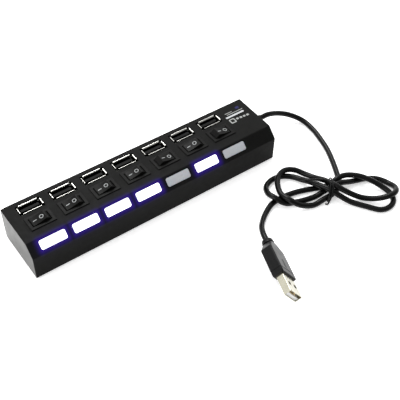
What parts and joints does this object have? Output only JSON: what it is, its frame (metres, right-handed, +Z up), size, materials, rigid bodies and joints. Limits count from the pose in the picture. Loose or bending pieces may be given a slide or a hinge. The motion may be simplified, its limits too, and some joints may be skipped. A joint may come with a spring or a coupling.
{
  "type": "usb hub",
  "caption": "Long desktop usb hub: upright ports along the top, a rocker switch and a light window for each port, and a tied cord with a type A plug.",
  "frame": {"origin": "centre of the hub's body on the floor its feet stand on", "axes": "+X along the body to the cord end, +Y to the back where the ports are, +Z up out of the ports"},
  "size_m": [0.2071, 0.1289, 0.0256],
  "materials": {
    "housing": "fine matte moulded grain",
    "end_cap": "satin",
    "cover": "matte",
    "board": "solder mask",
    "port_metal": "tin plated",
    "port_black": "matte",
    "contact_gold": "plated",
    "switch_black": "satin",
    "rocker_black": "satin with white marks",
    "terminal_metal": "tinned",
    "window_lit": "translucent, lit from behind",
    "window_unlit": "translucent, unlit",
    "led": "clear",
    "chip": "moulded epoxy",
    "lead_metal": "tinned",
    "crystal_can": "drawn",
    "capacitor": "sleeve",
    "resistor": "film",
    "screw": "zinc",
    "foot_rubber": "matte",
    "relief_rubber": "satin",
    "wire": "insulation",
    "cord_pvc": "satin pvc",
    "tie": "coated wire",
    "grip_pvc": "moulded pvc",
    "plug_metal": "nickel plated",
    "plug_white": "moulded"
  },
  "bodies": {
    "hub": {"upper_housing": "housing", "bottom_cover": "cover", "left_end_cap": "end_cap", "right_end_cap": "end_cap", "circuit_board": "board", "port_contacts": "contact_gold", "switch_terminals": "terminal_metal", "leds": "led", "hub_chips": "chip", "chip_leads": "lead_metal", "crystal": "crystal_can", "capacitors": "capacitor", "resistors": "resistor", "case_screws": "screw", "rubber_feet": "foot_rubber", "strain_relief": "relief_rubber", "cord_wires": "wire", "cord": "cord_pvc", "twist_tie": "tie", "plug_grip": "grip_pvc", "plug_shell": "plug_metal", "plug_insulator": "plug_white", "plug_contacts": "contact_gold", "port_shell_1": "port_metal", "port_insulator_1": "port_black", "switch_frame_1": "switch_black", "light_window_1": "window_lit", "port_shell_2": "port_metal", "port_insulator_2": "port_black", "switch_frame_2": "switch_black", "light_window_2": "window_lit", "port_shell_3": "port_metal", "port_insulator_3": "port_black", "switch_frame_3": "switch_black", "light_window_3": "window_lit", "port_shell_4": "port_metal", "port_insulator_4": "port_black", "switch_frame_4": "switch_black", "light_window_4": "window_lit", "port_shell_5": "port_metal", "port_insulator_5": "port_black", "switch_frame_5": "switch_black", "light_window_5": "window_unlit", "port_shell_6": "port_metal", "port_insulator_6": "port_black", "switch_frame_6": "switch_black", "light_window_6": "window_lit", "port_shell_7": "port_metal", "port_insulator_7": "port_black", "switch_frame_7": "switch_black", "light_window_7": "window_unlit"},
    "rocker_1": {"rocker_1": "rocker_black"},
    "rocker_2": {"rocker_2": "rocker_black"},
    "rocker_3": {"rocker_3": "rocker_black"},
    "rocker_4": {"rocker_4": "rocker_black"},
    "rocker_5": {"rocker_5": "rocker_black"},
    "rocker_6": {"rocker_6": "rocker_black"},
    "rocker_7": {"rocker_7": "rocker_black"}
  },
  "joints": [
    {"name": "switch_1", "type": "hinge", "parent": "hub", "child": "rocker_1", "pos_m": [-0.067, -0.0007, 0.02], "axis": [0, 1, 0], "range_deg": [0, 27]},
    {"name": "switch_2", "type": "hinge", "parent": "hub", "child": "rocker_2", "pos_m": [-0.047, -0.0007, 0.02], "axis": [0, 1, 0], "range_deg": [0, 27]},
    {"name": "switch_3", "type": "hinge", "parent": "hub", "child": "rocker_3", "pos_m": [-0.027, -0.0007, 0.02], "axis": [0, 1, 0], "range_deg": [0, 27]},
    {"name": "switch_4", "type": "hinge", "parent": "hub", "child": "rocker_4", "pos_m": [-0.007, -0.0007, 0.02], "axis": [0, 1, 0], "range_deg": [0, 27]},
    {"name": "switch_5", "type": "hinge", "parent": "hub", "child": "rocker_5", "pos_m": [0.013, -0.0007, 0.02], "axis": [0, 1, 0], "range_deg": [-27, 0]},
    {"name": "switch_6", "type": "hinge", "parent": "hub", "child": "rocker_6", "pos_m": [0.033, -0.0007, 0.02], "axis": [0, 1, 0], "range_deg": [0, 27]},
    {"name": "switch_7", "type": "hinge", "parent": "hub", "child": "rocker_7", "pos_m": [0.053, -0.0007, 0.02], "axis": [0, 1, 0], "range_deg": [-27, 0]}
  ]
}
